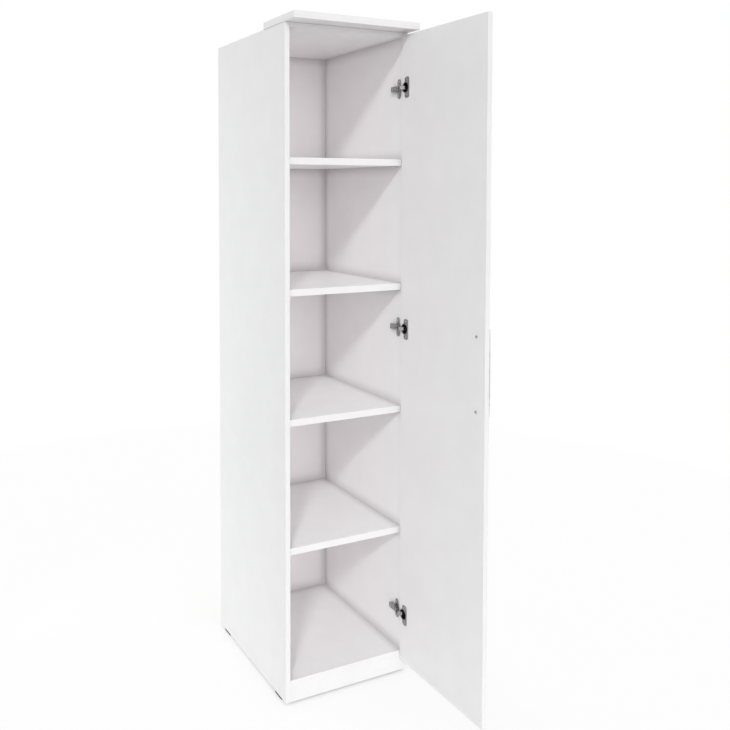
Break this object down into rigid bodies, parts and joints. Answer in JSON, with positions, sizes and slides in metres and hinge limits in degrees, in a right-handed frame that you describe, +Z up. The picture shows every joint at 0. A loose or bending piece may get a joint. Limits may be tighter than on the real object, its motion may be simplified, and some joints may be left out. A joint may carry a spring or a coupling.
{
  "type": "tall storage cabinet",
  "caption": "Tall narrow storage cabinet of white boards with loose shelves, a cornice board, and one full-height door on bent-link cup hinges with a bar handle.",
  "frame": {"origin": "centre of the carcass footprint on the floor, under the glides", "axes": "+Z up, +X to the hinged side of the carcass as seen from the front, +Y from the front edges to the rear edges; the door opens towards -Y"},
  "size_m": [0.48, 1.0321, 2.194],
  "materials": {
    "white_board": "smooth white melamine on particle board",
    "white_back": "white lacquered hardboard",
    "beech": "plain turned beech",
    "cam_zinc": "cast zinc",
    "screw_zinc": "bright zinc plate",
    "pin_steel": "bright steel",
    "hinge_steel": "nickel-plated pressed steel",
    "liner_black": "black moulded plastic",
    "glide_black": "black moulded plastic",
    "handle_metal": "satin metal"
  },
  "bodies": {
    "carcass": {"left_side_panel": "white_board", "right_side_panel": "white_board", "top_panel": "white_board", "bottom_panel": "white_board", "plinth_board": "white_board", "cornice_board": "white_board", "shelf_1": "white_board", "shelf_2": "white_board", "shelf_3": "white_board", "shelf_4": "white_board", "back_panel": "white_back", "dowels": "beech", "cam_discs": "cam_zinc", "cam_bolts": "screw_zinc", "back_nails": "screw_zinc", "plate_screws": "screw_zinc", "arm_screws": "screw_zinc", "shelf_pins": "pin_steel", "arm_pins": "pin_steel", "floor_glides": "glide_black", "upper_hinge_plate": "hinge_steel", "upper_hinge_arm": "hinge_steel", "middle_hinge_plate": "hinge_steel", "middle_hinge_arm": "hinge_steel", "lower_hinge_plate": "hinge_steel", "lower_hinge_arm": "hinge_steel"},
    "hinge_links": {"upper_hinge_link": "hinge_steel", "middle_hinge_link": "hinge_steel", "lower_hinge_link": "hinge_steel"},
    "door": {"door_panel": "white_board", "door_handle": "handle_metal", "handle_screws": "screw_zinc", "cup_screws": "screw_zinc", "cup_pins": "pin_steel", "upper_hinge_cup": "hinge_steel", "upper_cup_liner": "liner_black", "middle_hinge_cup": "hinge_steel", "middle_cup_liner": "liner_black", "lower_hinge_cup": "hinge_steel", "lower_cup_liner": "liner_black"}
  },
  "joints": [
    {"name": "link_swing", "type": "hinge", "parent": "carcass", "child": "hinge_links", "pos_m": [0.195, -0.287, 1.188], "axis": [0, 0, 1], "range_deg": [-10, 39.4]},
    {"name": "door_swing", "type": "hinge", "parent": "hinge_links", "child": "door", "pos_m": [0.20384, -0.30508, 1.188], "axis": [0, 0, 1], "range_deg": [-127.97, 27.4]}
  ],
  "couplings": [
    {"joint": "link_swing", "follows": "door_swing", "ratio": -0.29203}
  ]
}
